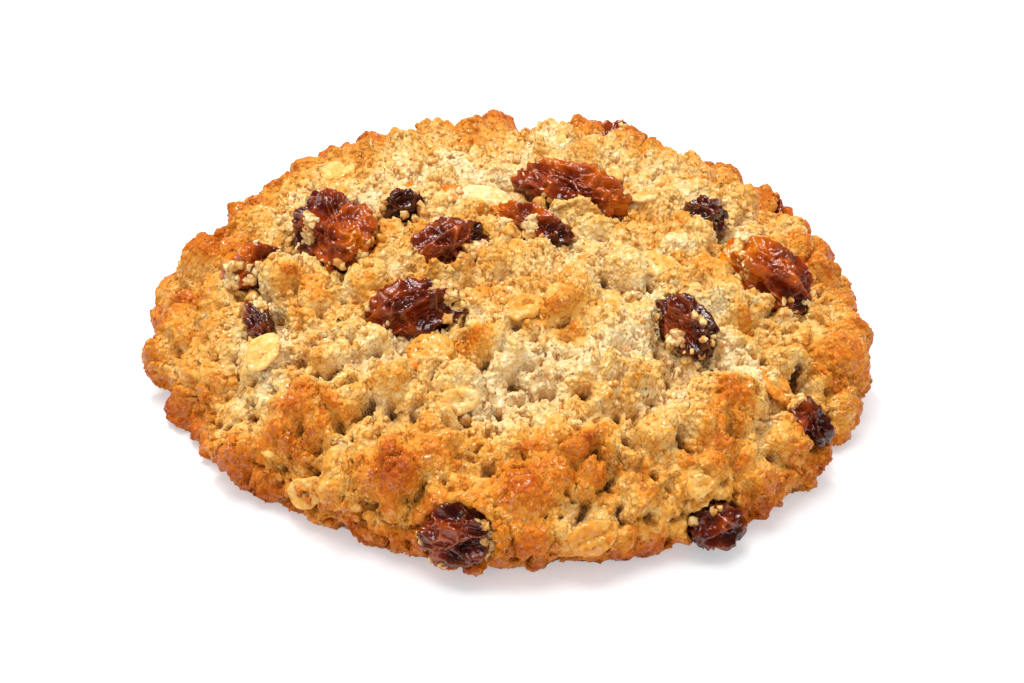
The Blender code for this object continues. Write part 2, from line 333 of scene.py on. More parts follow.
def square_border(cells):
    """Indices of the grid's border, anticlockwise from its first corner."""
    side = cells + 1
    return ([k for k in range(cells)] + [side * k + cells for k in range(cells)]
            + [side * cells + cells - k for k in range(cells)]
            + [side * (cells - k) for k in range(cells)])


azimuths, travels = square_places(GRID)
skin, skin_normals = smooth_crust(azimuths, travels)
print("points over the crust:", len(skin))


# %% [markdown]
# ## Relief, from loaf to crumb
#
# Baked dough is uneven at every size, and each size has its own cause. Scoops of dough slump into
# clumps of 10 mm. Inside a clump, nuggets of 4 to 5 mm hold round an oat flake or a lump of butter.
# On them sit granules of 2 mm and crumbs of 1 mm. Cell noise gives all of these: a rounded top in
# each cell and a crease between cells. The points are shifted a little first, so that no cell keeps
# a straight edge. Crusted tops are smoother than the open, crumbly valleys.

# %% Relief functions
CLUMP = 10.5
CLUMP_RISE = 3.4
CLUMP_LEVEL = 0.24
SWELL = 17.0
SWELL_HEIGHT = 1.6


def sample(measure, points):
    """Call a noise function at each row of an array of points."""
    return np.array([measure(Vector(point)) for point in points.tolist()])


def smooth_step(low, high, value):
    """0 below low, 1 above high, and an even turn between."""
    share = np.clip((value - low) / (high - low), 0.0, 1.0)
    return share * share * (3 - 2 * share)


def bell(distance, width):
    """1 at a distance of 0, falling to nothing a little beyond the width."""
    return np.exp(-(distance / width) ** 2)


def cells_at(points, spacing):
    """Distance to the nearest cell middle, to the next one, and a random number for each cell."""
    def measure(point):
        distances, middles = noise.voronoi(point / spacing)
        return distances[0], distances[1], noise.cell(middles[0] * 7.3)
    return sample(measure, points).T


def lay_mounds(points, mounds):
    """The lift that a list of mounds gives at each point."""
    lift = np.zeros(len(points))
    for mound in mounds:
        place = np.array(crust_place(mound.azimuth, mound.travel)[0])
        apart = ((points - place) ** 2).sum(1)
        lift += mound.height * np.exp(-apart / mound.spread ** 2)
    return lift


def distance_to_path(points, places):
    """Distance from each point to a chain of places on the crust."""
    chain = [np.array(crust_place(*place)[0]) for place in places]
    nearest = np.full(len(points), 1e9)
    for start, end in zip(chain, chain[1:]):
        way = end - start
        share = np.clip((points - start) @ way / (way @ way), 0.0, 1.0)
        nearest = np.minimum(nearest, np.linalg.norm(points - start - share[:, None] * way, axis=1))
    return nearest


def body_relief(points):
    """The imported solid's own relief: clumps, an uneven body and the mounds."""
    to_clump = cells_at(points, CLUMP)[0]
    swell = SWELL_HEIGHT * sample(noise.noise, points / SWELL)
    return CLUMP_RISE * (CLUMP_LEVEL - to_clump ** 2) + swell + lay_mounds(points, MOUNDS)


SHIFT_SIZE = 3.1
SHIFT_REACH = 0.8
shift = sample(lambda point: noise.noise_vector(point / SHIFT_SIZE) * SHIFT_REACH, skin)
body = body_relief(skin + 0.7 * shift)
print("body relief:", body.min().round(1), "to", body.max().round(1), "mm")

# %% How well done each part of the crust is, from 0, pale, to 1, dark brown
TOASTED = ((251, 0.75, 1.9, 0.22), (284, 0.66, 1.5, 0.30), (196, 0.495, 2.6, 0.35),
           (258, 0.405, 2.2, 0.30), (292, 0.355, 2.6, 0.28), (316, 0.66, 2.8, 0.28),
           (334, 0.57, 2.6, 0.30), (228, 0.665, 2.4, 0.28), (179, 0.765, 2.6, 0.30),
           (275, 0.76, 5.0, 0.20), (350, 0.43, 2.4, 0.25), (299, 0.815, 2.6, -0.25),
           (283, 0.865, 3.4, -0.30), (213, 0.645, 2.6, -0.30), (267, 0.50, 6.0, -0.22),
           (325, 0.62, 5.0, -0.20), (240, 0.50, 4.0, -0.12), (208, 0.60, 4.0, -0.20),
           (219, 0.82, 6.0, -0.16), (267, 0.50, 4.0, 0.08))
rim = smooth_step(0.40, 0.95, travels)
low_edge = smooth_step(0.82, 0.98, travels)
patches = sample(lambda point: noise.fractal(point / 8.0, 0.8, 2.1, 3), skin)
stands = body - body.mean()
# the rim, the low edge, patches and whatever stands up browned more, and the back and the left are a
# little darker. The lowest edge is darker still: partly browning on the tray, partly painted shade
# under the rim
toast = 0.13 + 0.34 * rim + 0.22 * low_edge + 0.25 * patches + 0.07 * np.clip(stands, -2, 2)
toast += 0.22 * smooth_step(0.94, 1.0, travels) + 0.15 * smooth_step(12.0, 38.0, skin[:, 1])
toast += 0.05 * smooth_step(10.0, 40.0, -skin[:, 0])
toast += lay_mounds(skin, [Mound(*row) for row in TOASTED])
toast = np.clip(toast, 0.02, 1.0)
print("toast:", toast.min().round(2), "to", toast.max().round(2), "mean", toast.mean().round(2))

# %% Nuggets, granules, crumbs, the crack and the holes
NUGGET = 4.4
GRANULE = 2.0
CRUMB = 1.05
PORE = 1.5
PORE_DEPTH = 1.5
RAGGED = 1.1
# cells are longer down the slope than across it, because the dough slumped
DOWNHILL = np.array([1.0, 1.0, 0.45])
shifted = skin + shift
nugget, next_nugget, nugget_kind = cells_at(shifted * DOWNHILL, NUGGET)
granule, next_granule, granule_kind = cells_at((skin + 0.5 * shift) * DOWNHILL, GRANULE)
crumb, _, crumb_kind = cells_at(skin + 0.25 * shift, CRUMB)
open_dough = 1.15 - 0.55 * smooth_step(0.30, 0.75, toast)
fine = (1.8 + 1.4 * nugget_kind) * (0.28 - nugget ** 2)
inside_nugget = smooth_step(0.0, 0.16, next_nugget - nugget)
fine += 1.3 * (nugget_kind - 0.5) * inside_nugget - 0.7 * (1 - inside_nugget)
fine += open_dough * (0.70 + 0.5 * granule_kind) * (0.26 - granule ** 2)
inside_granule = smooth_step(0.0, 0.18, next_granule - granule)
fine += open_dough * (0.35 * (granule_kind - 0.5) * inside_granule - 0.22 * (1 - inside_granule))
fine += open_dough * (0.34 + 0.25 * crumb_kind) * (0.24 - crumb ** 2)
# pores open only where the crust lies low
pores = sample(lambda point: noise.noise(point / PORE), shifted)
valley = 1 - smooth_step(-1.2, 1.2, body + fine)
fine -= PORE_DEPTH * valley * smooth_step(0.20, 0.38, pores)
crack = distance_to_path(skin + 1.3 * shift, CRACK)
fine -= CRACK_DEPTH * bell(crack, CRACK_WIDTH)
slit = bell(distance_to_path(skin + 0.3 * shift, SLIT), SLIT_WIDTH)
fine -= SLIT_DEPTH * slit
# knobs and holes get a ragged outline, so that none is round
ragged = sample(lambda point: noise.noise_vector(point / RAGGED) * 1.0, skin)
fine += lay_mounds(skin + 0.6 * shift + ragged, KNOBS)
lift = body + fine
print("relief in all:", lift.min().round(1), "to", lift.max().round(1), "mm")


# %% [markdown]
# ## Sockets for the raisins
#
# Dough closes round a raisin as it bakes and shrinks back a little as it cools. Under each raisin
# the sheet is drawn down to its middle, with a steep wall just inside the raisin's widest ring, and
# a low lip is left outside. The raisin then sits in the dough instead of on it, and no dough shows
# through its skin.

# %% Press the sockets
SOCKET_DEPTH = 0.30
LIP_HEIGHT = 0.45


def in_frame(points, middle, turn):
    """Points as seen from a raisin: along it, across it and up out of the crust."""
    return (points - np.array(middle)) @ np.array(turn)


def ring_of(seen, raisin):
    """How far out points lie along and across a raisin, 1 at its widest ring."""
    return np.hypot(seen[:, 0] / (raisin.length / 2), seen[:, 1] / (raisin.width / 2))


points = skin + skin_normals * lift[:, None]
socket_edge = np.zeros(len(points))
for raisin in RAISINS:
    middle, turn = raisin_frame(raisin)
    near = np.where(np.linalg.norm(points - np.array(middle), axis=1) < raisin.length)[0]
    seen = in_frame(points[near], middle, turn)
    uneven = sample(lambda point: noise.noise(point / RAGGED), skin[near])
    ragged = ring_of(seen, raisin) + 0.05 * uneven
    pressed = 1 - smooth_step(0.82, 1.0, ragged)
    floor_level = -SOCKET_DEPTH * raisin.thickness
    seen[:, 2] += pressed * np.minimum(floor_level - seen[:, 2], 0.0)
    lip = bell(ragged - 1.13, 0.13)
    seen[:, 2] += LIP_HEIGHT * lip * (seen[:, 2] > -1.5)
    points[near] = seen @ np.array(turn).T + np.array(middle)
    socket_edge[near] = np.maximum(socket_edge[near], bell(ragged - 1.1, 0.2))
points[:, 2] = np.maximum(points[:, 2], 0.0)
points[travels >= 0.9999, 2] = 0.0
print("sockets pressed:", len(RAISINS))

# %% What stands up and what lies deep
def blur(values, reach):
    """Average over a square of the grid, 2 x reach + 1 points wide."""
    size = GRID + 1
    padded = np.pad(values.reshape(size, size), reach + 1, mode="edge")
    sums = padded.cumsum(0).cumsum(1)
    wide = 2 * reach + 1
    total = (sums[wide:, wide:] - sums[:-wide, wide:] - sums[wide:, :-wide] + sums[:-wide, :-wide])
    return (total / wide ** 2)[:size, :size].ravel()


# painted shade: the underside of the rim and the slit count as deep as the deepest pits, so they are
# painted dark
hollow = np.clip((blur(lift, 7) - lift) / 1.4, -1.0, 2.0)
hollow += 1.3 * smooth_step(0.94, 0.995, travels) + 2.0 * slit
toast = np.clip(toast - 0.12 * np.clip(hollow, 0, 1) + 0.13 * np.clip(-hollow, 0, 1), 0.0, 1.0)
print("hollow:", hollow.min().round(2), "to", hollow.max().round(2))


# %% [markdown]
# ## The dough as one closed mesh
#
# The sheet is closed with a flat underside. That side only needs shallow pits where the dough didn't
# touch the tray, so its grid is coarser, and a row of triangles joins the two.

# %% Join the sheet and the underside
def grid_quads(cells, first, flipped=False):
    """Four-sided faces of a square grid whose points start at an index."""
    side = cells + 1
    quads = []
    for row in range(cells):
        for column in range(cells):
            corner = first + row * side + column
            quad = (corner, corner + 1, corner + side + 1, corner + side)
            quads.append(quad[::-1] if flipped else quad)
    return quads


BASE_INSET = 0.965
BASE_PIT_DEPTH = 0.9
base_azimuths, base_travels = square_places(BASE_GRID)
edge_points, _ = smooth_crust(base_azimuths, np.ones_like(base_azimuths))
base = edge_points * (BASE_INSET * base_travels)[:, None]
base_pits = sample(lambda point: noise.noise(point / 3.2), base)
pit_share = smooth_step(0.10, 0.45, base_pits) * smooth_step(1.0, 0.85, base_travels)
base[:, 2] = BASE_PIT_DEPTH * pit_share
top_count = len(points)
outer, inner = square_border(GRID), [top_count + k for k in square_border(BASE_GRID)]
ratio = GRID // BASE_GRID
faces = grid_quads(GRID, 0) + grid_quads(BASE_GRID, top_count, flipped=True)
for k, start in enumerate(inner):
    end = inner[(k + 1) % len(inner)]
    rim_run = [outer[(k * ratio + j) % len(outer)] for j in range(ratio + 1)]
    half = ratio // 2
    faces += [(rim_run[j + 1], rim_run[j], start) for j in range(half)]
    faces.append((rim_run[half], start, end))
    faces += [(rim_run[j + 1], rim_run[j], end) for j in range(half, ratio)]
all_points = np.vstack([points, base])
dough_mesh = bpy.data.meshes.new("baked dough")
dough_mesh.from_pydata((all_points * MM).tolist(), [], faces)
dough_mesh.shade_smooth()
dough = put_in_scene("dough_crust", dough_mesh)
print("dough faces:", len(dough_mesh.polygons))

# %% Write what the finish needs onto the mesh
# the underside lay on the tray, so it is well done all over
base_toast = 0.80 + 0.35 * sample(lambda point: noise.fractal(point / 6.0, 0.8, 2.1, 3), base)
base_toast = np.clip(base_toast, 0, 1)
no_base = np.zeros(len(base))
write_attributes(dough_mesh, {"toast": np.concatenate([toast, base_toast]),
                              "hollow": np.concatenate([hollow, no_base]),
                              "socket": np.concatenate([socket_edge, no_base])})


def map_grid(cells, left, low, width, height):
    """Spots of the baking map for the points of a square grid, in a rectangle of the map."""
    steps = np.linspace(0, 1, cells + 1)
    across, back = (side.ravel() for side in np.meshgrid(steps, steps))
    return np.stack([left + width * across, low + height * back], 1)


write_bake_map(dough_mesh, np.vstack([map_grid(GRID, 0.005, 0.005, 0.86, 0.99),
                                      map_grid(BASE_GRID, 0.885, 0.02, 0.10, 0.96)]))
print("UV maps:", [layer.name for layer in dough_mesh.uv_layers])


# %% [markdown]
# ## Baked dough
#
# A baked crust is flour, sugar and butter that set as a crumb. Colour comes from browning: pale
# cream in the open dough of the crown, gold on the slopes, and red-brown where a knob or the low
# edge caught the heat. Each grain browned a little differently, so cell noise of about a millimetre
# shifts the browning, and a grain where sugar and butter melted is shiny. A bump adds the grains
# that are finer than the mesh. Shade is painted into the colour as well: darker between grains, in
# hollows and pits, under the rim, in the slit and at the foot of each crumb. No light passes into
# the dough here: where crumbs overlap, that turned their edges grey.

# %% The dough's finish, shared by its crumbs
BROWNING = ((0.00, "F5E0AC"), (0.20, "F0C878"), (0.40, "E6A240"), (0.60, "D17318"),
            (0.80, "B44E0A"), (1.00, "903408"))
# painted shade: the colour mixed in where grains meet, for the shadow between them
SHADE_BETWEEN_GRAINS = "C06E12"
# painted shade in hollows
SHADE_IN_HOLLOWS = "C4822C"
# painted shade in pits, under the rim and in the slit
SHADE_IN_PITS = "4E2004"
BRAN = "7A4A22"
# painted shade at the foot of each crumb, where it meets the dough
SHADE_AT_CRUMB_FOOT = "C07418"
CLOUD = 3.0
GRAIN = 0.72
FINE_GRAIN = 0.42
BRAN_FLECKS = 1.6
DOUGH_IOR = 1.42


def baked_dough(name, bump_depth, crumbly):
    """A procedural baked crumb. Crumbs carry a tint of their own, the crust doesn't."""
    material = bpy.data.materials.new(name)
    material.use_nodes = True
    tree = material.node_tree
    add = partial(add_node, tree)
    place = add("ShaderNodeTexCoord").outputs["Object"]
    browned, painted_shade_depth, tint, rise = (add("ShaderNodeAttribute", attribute_name=kind).outputs["Fac"]
                                      for kind in ("toast", "hollow", "tint", "rise"))
    grains = add("ShaderNodeTexVoronoi", {"Vector": place, "Scale": 1000 / GRAIN})
    grain_tint = add("ShaderNodeSeparateColor", {"Color": grains.outputs["Color"]}).outputs
    cloud = add("ShaderNodeTexNoise", {"Vector": place, "Scale": 1000 / CLOUD, "Detail": 5.0})
    flecks = add("ShaderNodeTexVoronoi", {"Vector": place, "Scale": 1000 / BRAN_FLECKS})
    # browning: the place on the cookie, then each grain, a cloud of 3 mm, and each crumb
    level = browned
    for measure, part in ((grain_tint["Red"], 0.20), (cloud.outputs["Fac"], 0.40),
                          (tint, 0.14 * crumbly)):
        level = add("ShaderNodeMath", {0: measure, 1: part, 2: level}, operation="MULTIPLY_ADD")
    level = add("ShaderNodeMath", {0: level, 1: 0.30 + 0.07 * crumbly}, operation="SUBTRACT")
    colour = add("ShaderNodeValToRGB", {"Fac": level}, stops=BROWNING)
    # then what each place adds, painted shade for all but the bran: its measure, the measure's range,
    # the shares there, and a colour
    for measure, low, high, at_low, at_high, code in (
            (grains.outputs["Distance"], 0.30, 0.75, 0.00, 0.25, SHADE_BETWEEN_GRAINS),
            (painted_shade_depth, 0.10, 0.90, 0.00, 0.55, SHADE_IN_HOLLOWS),
            (painted_shade_depth, 0.80, 1.70, 0.00, 0.90, SHADE_IN_PITS),
            (flecks.outputs["Distance"], 0.05, 0.11, 0.50, 0.00, BRAN),
            (rise, -0.50, 0.35, 0.65 * crumbly, 0.00, SHADE_AT_CRUMB_FOOT)):
        share = add("ShaderNodeMapRange", {"Value": measure, "From Min": low, "From Max": high,
                                           "To Min": at_low, "To Max": at_high})
        colour = add("ShaderNodeMix", {"Factor": share, "A": colour, "B": linear(code)},
                     data_type="RGBA")
    # butter and sugar leave some grains shiny
    gloss, glint = (add("ShaderNodeMapRange", {"Value": grain_tint["Green"], "From Min": low,
                                               "From Max": 0.9, "To Min": dull, "To Max": shiny})
                    for low, dull, shiny in ((0.4, 0.50, 0.14), (0.5, 0.16, 1.00)))
    soft_grains = add("ShaderNodeTexVoronoi", {"Vector": place, "Scale": 1000 / GRAIN},
                      feature="SMOOTH_F1").outputs["Distance"]
    fine_grains = add("ShaderNodeTexVoronoi", {"Vector": place, "Scale": 1000 / FINE_GRAIN})
    height = add("ShaderNodeMath", {0: fine_grains.outputs["Distance"], 1: 0.25, 2: soft_grains},
                 operation="MULTIPLY_ADD")
    bump = add("ShaderNodeBump", {"Strength": 1.0, "Distance": bump_depth * MM, "Height": height},
               invert=True)
    fill_inputs(tree, tree.nodes["Principled BSDF"], {
        "Base Color": colour, "Roughness": gloss, "Specular IOR Level": glint, "Normal": bump,
        "IOR": DOUGH_IOR})
    return material


crust_finish = baked_dough("baked dough, crusted", 0.60, 0.0)
crumb_finish = baked_dough("baked dough, crumbs", 0.24, 1.0)
dough_mesh.materials.append(crust_finish)
print("finishes:", crust_finish.name, "/", crumb_finish.name)


# %% [markdown]
# ## Raisins
#
# A raisin is a grape whose skin is now too large for it. The skin stays up as thin ridges that run
# mostly from end to end, and the flesh between them sinks into smooth hollows. The body repeats the
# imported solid's folds. Cell noise stretched along the raisin then gives the ridges, where two cells
# meet, and two finer ones wrinkle the hollows between them.

# %% Shape one raisin
SEAM = 2.5
CREASE = 1.15
PUCKER = 0.55
BIG_RAISIN = 9.0
WAIST_DEPTH = 1.3


def wrinkle_cells(points, spacing, stretch):
    """How far each point is from the border of its cell, in cells stretched along the raisin."""
    squeezed = points / np.array([stretch * spacing, spacing, spacing])
    def measure(point):
        distances, _ = noise.voronoi(point)
        return distances[1] - distances[0]
    return sample(measure, squeezed)


def make_raisin(number, raisin):
    """A wrinkled raisin as an object in its place in the dough."""
    shape = bmesh.new()
    levels = 6 if raisin.length >= BIG_RAISIN else 5
    bmesh.ops.create_icosphere(shape, subdivisions=levels, radius=1.0)
    mesh = bpy.data.meshes.new(f"raisin_{number:02d}_skin")
    shape.to_mesh(mesh)
    shape.free()
    unit = vertex_places(mesh).astype(float)
    along, across, up = unit.T
    around = np.arctan2(up, across)
    girth = np.hypot(across, up)
    fold = 0.12 * girth * np.cos(5 * around + 1.6 * along + number)
    lump = 0.16 * sample(noise.noise, unit * 1.3 + np.array([number, 0, 0]))
    half = np.array([raisin.length, raisin.width, raisin.thickness]) / 2
    body = unit * half * (1 + fold + lump)[:, None]
    place = body + np.array([31.0 * number, 0.0, 0.0])
    wavy = place + sample(lambda point: noise.noise_vector(point / 2.4) * 1.0, place)
    seam = wrinkle_cells(wavy, SEAM, 1.7)
    crease = wrinkle_cells(wavy + 5.0, CREASE, 1.5)
    pucker = wrinkle_cells(wavy + 11.0, PUCKER, 1.3)
    sink = 0.80 * (1 - bell(seam, 0.24)) + 0.42 * (1 - bell(crease, 0.20))
    sink += 0.08 * (1 - np.exp(-pucker / 0.2)) - 0.12
    if number == 1:  # the largest on the left has two lobes
        waist = along - 0.14 + 0.25 * across
        sink += WAIST_DEPTH * bell(waist, 0.15) * smooth_step(-0.2, 0.6, up)
    body -= unit * sink[:, None]
    middle, turn = raisin_frame(raisin)
    points = body @ np.array(turn).T + np.array(middle)
    points[:, 2] = np.maximum(points[:, 2], 0.05)
    mesh.vertices.foreach_set("co", (points * MM).astype(np.float32).ravel())
    # painted glow: the side that faces the glow heading is a lighter amber, as light shining through the
    # skin
    glow = math.radians(raisin.glow)
    outward = unit @ np.array(turn).T
    lit = outward @ np.array([math.cos(glow), math.sin(glow), 0.25])
    cloud = sample(lambda point: noise.fractal(point / 3.2, 0.9, 2.0, 2), place)
    amber_and_glow = np.clip(raisin.amber + 0.42 * raisin.amber ** 0.5 * lit + 0.30 * cloud
                   + 0.10 * bell(seam, 0.10), 0.0, 1.0)
    ridge = bell(seam, 0.06) + 0.4 * bell(crease, 0.05)
    write_attributes(mesh, {"amber": amber_and_glow, "ridge": np.clip(ridge, 0, 1)})
    mesh.shade_smooth()
    return put_in_scene(mesh.name, mesh)


raisins = [make_raisin(number, raisin) for number, raisin in enumerate(RAISINS, start=1)]
print("raisin faces:", sum(len(thing.data.polygons) for thing in raisins))


# %% [markdown]
# ## Raisin skin
#
# Skin and flesh are the same dark syrup: thick parts look almost black, and the side of each raisin
# that faces its glow heading is painted amber, for light that shines through a lobe. The ridges are a
# duller, lighter brown: partly dried skin, partly a painted sheen where they catch the light. The
# skin is waxy and a little sticky, so its roughness is low, and a fine pucker in its bump breaks up
# the highlights.

# %% The raisins' finish
SYRUP = ((0.00, "320400"), (0.22, "581200"), (0.42, "862A00"), (0.65, "B85000"), (1.00, "E08806"))
DRIED_RIDGE_AND_SHEEN = "A4602C"
MOTTLE = 1.6
FINE_PUCKER = 0.8
WAX = 0.45
RAISIN_BUMP = 0.10

raisin_finish = bpy.data.materials.new("sun-dried raisin skin")
raisin_finish.use_nodes = True
tree = raisin_finish.node_tree
add = partial(add_node, tree)
place = add("ShaderNodeTexCoord").outputs["Object"]
amber = add("ShaderNodeAttribute", attribute_name="amber").outputs["Fac"]
ridge = add("ShaderNodeAttribute", attribute_name="ridge").outputs["Fac"]
mottle = add("ShaderNodeTexNoise", {"Vector": place, "Scale": 1000 / MOTTLE, "Detail": 3.0})
uneven = add("ShaderNodeMath", {0: mottle.outputs["Fac"], 1: 0.30, 2: amber},
             operation="MULTIPLY_ADD")
depth = add("ShaderNodeMath", {0: uneven, 1: 0.15}, operation="SUBTRACT")
flesh = add("ShaderNodeValToRGB", {"Fac": depth}, stops=SYRUP)
# the ridges are lighter: partly dried skin, partly painted sheen where they catch the light
ridge_and_sheen_share = add("ShaderNodeMath", {0: ridge, 1: 0.24}, operation="MULTIPLY")
skin_colour = add("ShaderNodeMix", {"Factor": ridge_and_sheen_share, "A": flesh, "B": linear(DRIED_RIDGE_AND_SHEEN)},
                  data_type="RGBA")
wax = add("ShaderNodeTexNoise", {"Vector": place, "Scale": 1000 / WAX, "Detail": 3.0})
waxy = add("ShaderNodeMapRange", {"Value": wax.outputs["Fac"], "From Min": 0.35, "From Max": 0.65,
                                  "To Min": 0.07, "To Max": 0.18})
puckers = add("ShaderNodeTexVoronoi", {"Vector": place, "Scale": 1000 / FINE_PUCKER},
              feature="DISTANCE_TO_EDGE")
skin_height = add("ShaderNodeMath", {0: puckers.outputs["Distance"], 1: -0.8,
                                     2: wax.outputs["Fac"]}, operation="MULTIPLY_ADD")
bump = add("ShaderNodeBump", {"Strength": 0.8, "Distance": RAISIN_BUMP * MM, "Height": skin_height})
fill_inputs(tree, tree.nodes["Principled BSDF"], {
    "Base Color": skin_colour, "Roughness": waxy, "Normal": bump, "IOR": 1.45,
    "Specular IOR Level": 0.8, "Subsurface Weight": 0.10, "Subsurface Radius": (1.0, 0.3, 0.1),
    "Subsurface Scale": 0.8 * MM})
for thing in raisins:
    thing.data.materials.append(raisin_finish)
print("finish:", raisin_finish.name)


# %% [markdown]
# ## Crumbs
#
# A mesh that is a sheet can't curl under itself, and real crumbs do: they sit on the crust like
# gravel, half sunk in it. One node tree scatters them over any surface. It weighs the spots by an
# attribute, turns and stretches each crumb at random, sinks it, and after the crumbs are real it
# pushes their points about with noise, so that no two are alike. Each use of the tree has its own
# fixed seed, so the crumbs fall in the same places on each run.

# %% What the node trees share
def start_tree(name, inputs, output):
    """A geometry tree with named inputs and an output, and the outputs of its input node."""
    tree = bpy.data.node_groups.new(name, "GeometryNodeTree")
    for label, kind in inputs:
        tree.interface.new_socket(label, in_out="INPUT", socket_type="NodeSocket" + kind)
    tree.interface.new_socket(output, in_out="OUTPUT", socket_type="NodeSocketGeometry")
    return tree, add_node(tree, "NodeGroupInput").outputs


def push_by_noise(tree, geometry, size, reach, share=1.0):
    """Move the points of a geometry by noise of a size, as far as a share of the reach."""
    add = partial(add_node, tree)
    wave = add("ShaderNodeTexNoise", {"Scale": 1000 / size, "Detail": 1.0})
    centred = add("ShaderNodeVectorMath", {0: wave.outputs["Color"], 1: (0.5, 0.5, 0.5)},
                  operation="SUBTRACT")
    push = add("ShaderNodeMath", {0: reach, 1: share * MM}, operation="MULTIPLY")
    nudge = add("ShaderNodeVectorMath", {0: centred, "Scale": push}, operation="SCALE")
    return add("GeometryNodeSetPosition", {"Geometry": geometry, "Offset": nudge})


def end_tree(tree, geometry, finish, output):
    """Shade a geometry smooth, give it its finish, and hand it out of the tree."""
    smooth = add_node(tree, "GeometryNodeSetShadeSmooth", {"Geometry": geometry, "Shade Smooth": True})
    finished = add_node(tree, "GeometryNodeSetMaterial", {"Geometry": smooth, "Material": finish})
    add_node(tree, "NodeGroupOutput", {output: finished})


# %% The node tree that scatters crumbs
CRUMB_LUMPS = 0.55
TINT_SEED = 77
STRETCH_SEED = 5
SPIN_SEED = 9
FULL_TURN = 6.283


def build_crumb_tree():
    """A geometry tree: crumbs on a surface, of a size, where an attribute of the surface says."""
    tree, given = start_tree("crumbs on a surface", (
        ("Surface", "Geometry"), ("Where", "String"), ("Per Square Millimetre", "Float"),
        ("Smallest", "Float"), ("Largest", "Float"), ("Sunk Share", "Float"), ("Sides", "Int"),
        ("Rings", "Int"), ("Finish", "Material"), ("Seed", "Int")), "Crumbs")
    add = partial(add_node, tree)
    where = add("GeometryNodeInputNamedAttribute", {"Name": given["Where"]})
    amount = add("ShaderNodeMath", {0: given["Per Square Millimetre"], 1: 1e6}, operation="MULTIPLY")
    density = add("ShaderNodeMath", {0: where, 1: amount}, operation="MULTIPLY")
    spots = add("GeometryNodeDistributePointsOnFaces",
                {"Mesh": given["Surface"], "Density": density, "Seed": given["Seed"]})
    outward = spots.outputs["Normal"]
    size = add("FunctionNodeRandomValue", {"Min": given["Smallest"], "Max": given["Largest"],
                                           "Seed": given["Seed"]})
    radius = add("ShaderNodeMath", {0: size, 1: 0.5 * MM}, operation="MULTIPLY")
    # each spot remembers where it was and which way was out, and then sinks
    marked = add("GeometryNodeStoreNamedAttribute",
                 {"Geometry": spots.outputs["Points"], "Name": "outward", "Value": outward},
                 data_type="FLOAT_VECTOR")
    anchored = add("GeometryNodeStoreNamedAttribute",
                   {"Geometry": marked, "Name": "anchor", "Value": add("GeometryNodeInputPosition")},
                   data_type="FLOAT_VECTOR")
    sunk = add("ShaderNodeMath", {0: radius, 1: given["Sunk Share"]}, operation="MULTIPLY")
    down = add("ShaderNodeMath", {0: sunk, 1: -1.0}, operation="MULTIPLY")
    drop = add("ShaderNodeVectorMath", {0: outward, "Scale": down}, operation="SCALE")
    placed = add("GeometryNodeSetPosition", {"Geometry": anchored, "Offset": drop})
    tint = add("FunctionNodeRandomValue", {"Min": 0.0, "Max": 1.0, "Seed": TINT_SEED})
    tinted = add("GeometryNodeStoreNamedAttribute",
                 {"Geometry": placed, "Name": "tint", "Value": tint})
    # a lumpy ball at each spot, stretched and turned its own way
    shape = add("GeometryNodeMeshUVSphere",
                {"Radius": 1.0, "Segments": given["Sides"], "Rings": given["Rings"]})
    stretch = add("FunctionNodeRandomValue", {"Min": (0.75, 0.75, 0.6), "Max": (1.25, 1.15, 0.95),
                                              "Seed": STRETCH_SEED}, data_type="FLOAT_VECTOR")
    scale = add("ShaderNodeVectorMath", {0: stretch, "Scale": radius}, operation="SCALE")
    spin = add("FunctionNodeRandomValue", {"Min": (0.0, 0.0, 0.0), "Max": (FULL_TURN,) * 3,
                                           "Seed": SPIN_SEED}, data_type="FLOAT_VECTOR")
    crumbs = add("GeometryNodeInstanceOnPoints",
                 {"Points": tinted, "Instance": shape.outputs["Mesh"], "Scale": scale,
                  "Rotation": add("FunctionNodeEulerToRotation", {"Euler": spin})})
    real = add("GeometryNodeRealizeInstances", {"Geometry": crumbs})
    lumpy = push_by_noise(tree, real, CRUMB_LUMPS, given["Largest"], 0.75)
    # how far each point stands out of the dough, for the painted shade at a crumb's foot
    outward, anchor = (add("GeometryNodeInputNamedAttribute", {"Name": name},
                           data_type="FLOAT_VECTOR") for name in ("outward", "anchor"))
    off = add("ShaderNodeVectorMath", {0: add("GeometryNodeInputPosition"), 1: anchor},
              operation="SUBTRACT")
    height = add("ShaderNodeVectorMath", {0: off, 1: outward}, operation="DOT_PRODUCT")
    rise = add("ShaderNodeMath", {0: height.outputs["Value"], 1: 0.25 * MM}, operation="DIVIDE")
    risen = add("GeometryNodeStoreNamedAttribute", {"Geometry": lumpy, "Name": "rise", "Value": rise})
    end_tree(tree, risen, given["Finish"], "Crumbs")
    return tree


crumb_tree = build_crumb_tree()
print("nodes in the crumb tree:", len(crumb_tree.nodes))


# %% Run a tree and keep a plain mesh
BAKE_SPAN = 0.1  # the baking map of a scattered piece is its plan, 100 mm across


